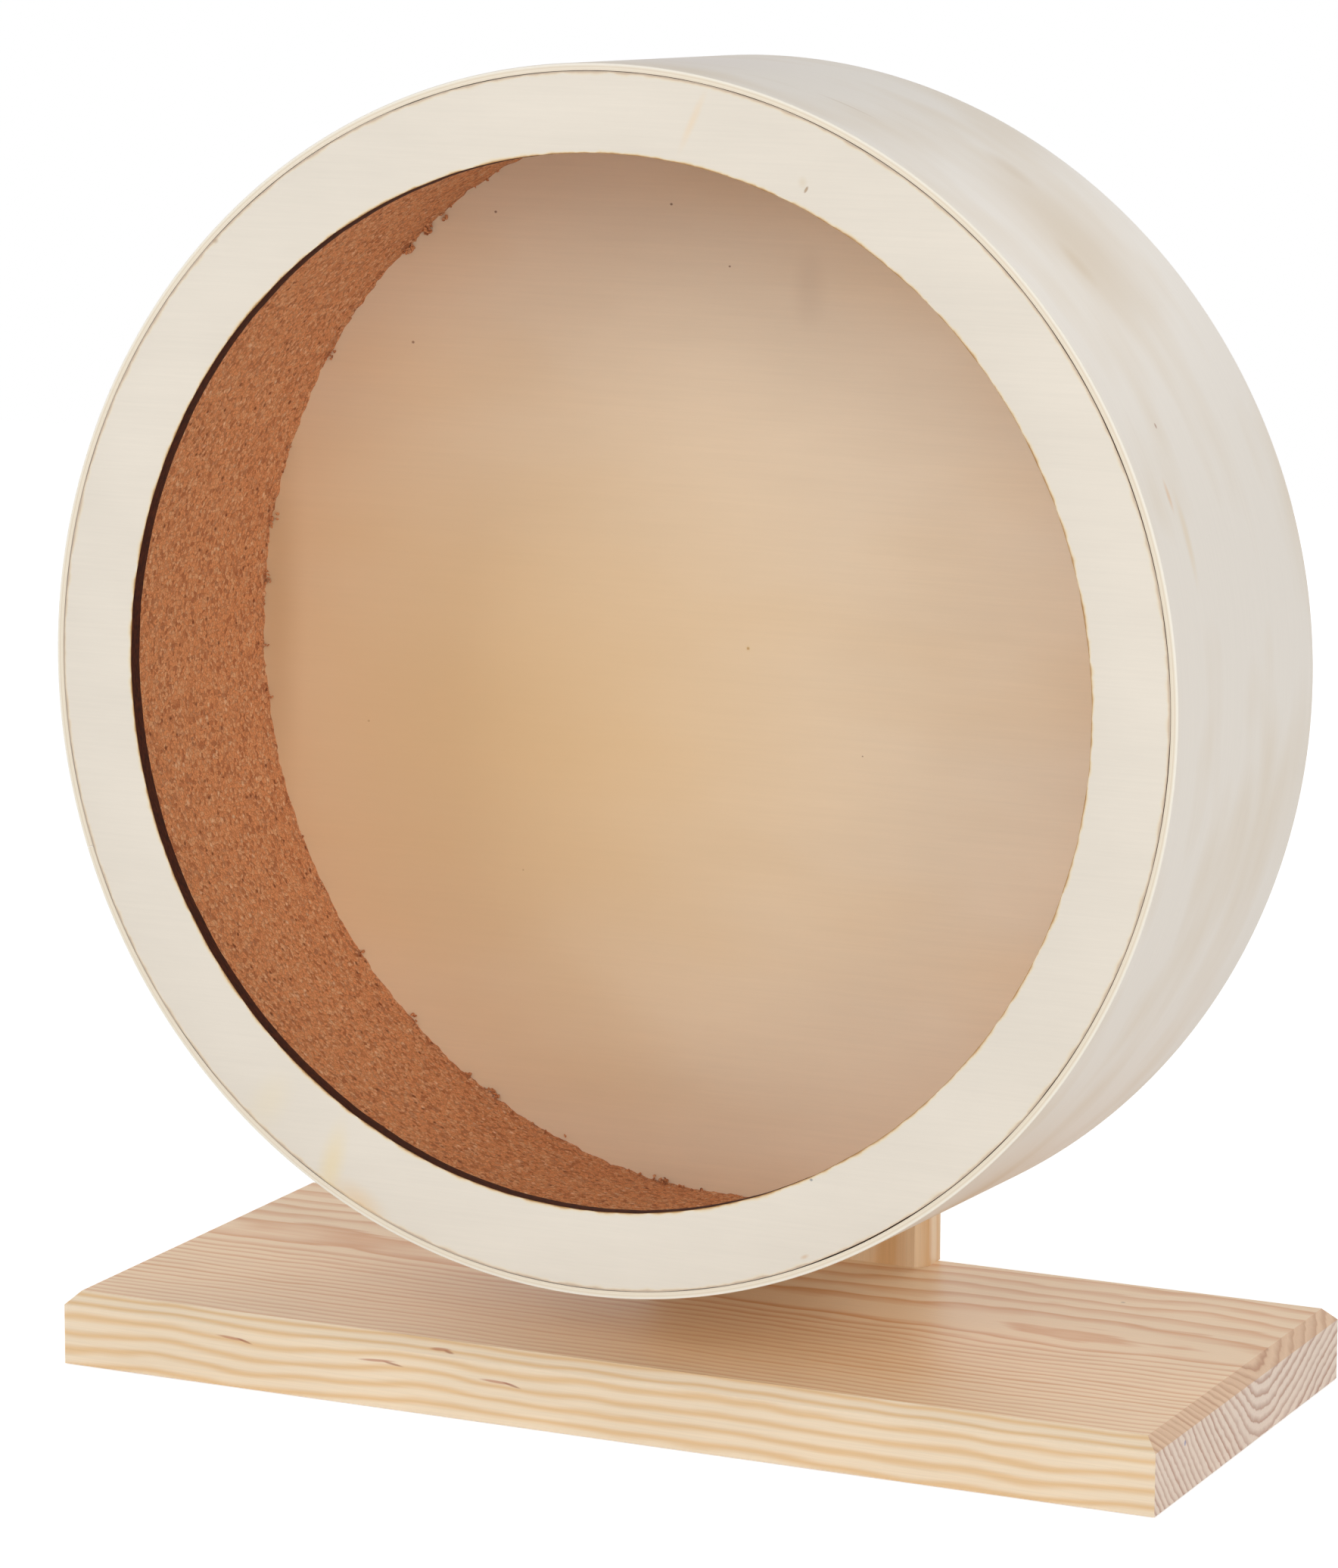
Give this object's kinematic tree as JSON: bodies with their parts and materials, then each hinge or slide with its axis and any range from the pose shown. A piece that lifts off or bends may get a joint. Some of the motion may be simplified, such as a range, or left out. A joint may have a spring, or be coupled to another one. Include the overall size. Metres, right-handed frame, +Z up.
{
  "type": "wooden hamster wheel",
  "caption": "Wooden exercise wheel for a hamster: a cork-lined bent-ply drum, open at the front, turning on a ball bearing behind it, on a pine base with an upright post.",
  "frame": {"origin": "centre of the base board's underside", "axes": "+Z up; the drum's open side faces -Y and the post is on the +Y side; +X to the right seen from the open side"},
  "size_m": [0.2868, 0.142, 0.3218],
  "materials": {
    "pine": "planed and sanded, bare",
    "pale_ply": "sanded, bare, with laser-charred edges",
    "warm_ply": "sanded, bare",
    "cork": "agglomerated granules, bare",
    "beech": "turned, bare",
    "zinc_steel": "zinc plated",
    "bearing_steel": "ground",
    "nylon": "moulded"
  },
  "bodies": {
    "stand": {"base_board": "pine", "upright_post": "pine", "post_screws": "zinc_steel", "post_dowels": "beech", "axle_bolt": "zinc_steel", "bearing_shims": "zinc_steel", "clamp_nut": "zinc_steel", "front_washer": "zinc_steel", "rear_washer": "zinc_steel", "lock_nut": "zinc_steel", "lock_nut_insert": "nylon", "bearing_inner_race": "bearing_steel"},
    "wheel": {"front_ring": "pale_ply", "drum_band": "pale_ply", "cork_lining": "cork", "back_disc": "warm_ply", "hub_base_plate": "pale_ply", "hub_bearing_plate": "pale_ply", "hub_cover_plate": "pale_ply", "hub_screws": "zinc_steel", "bearing_outer_race": "bearing_steel", "bearing_front_shield": "bearing_steel", "bearing_rear_shield": "bearing_steel"},
    "bearing_cage_body": {"bearing_cage": "nylon", "bearing_balls": "bearing_steel"}
  },
  "joints": [
    {"name": "wheel_spin", "type": "hinge", "parent": "stand", "child": "wheel", "pos_m": [0, -0.05992, 0.17855], "axis": [0, 0.9993, -0.0384], "continuous": true},
    {"name": "cage_spin", "type": "hinge", "parent": "stand", "child": "bearing_cage_body", "pos_m": [0, -0.05992, 0.17855], "axis": [0, 0.9993, -0.0384], "continuous": true}
  ],
  "couplings": [
    {"joint": "cage_spin", "follows": "wheel_spin", "ratio": 0.63227}
  ]
}
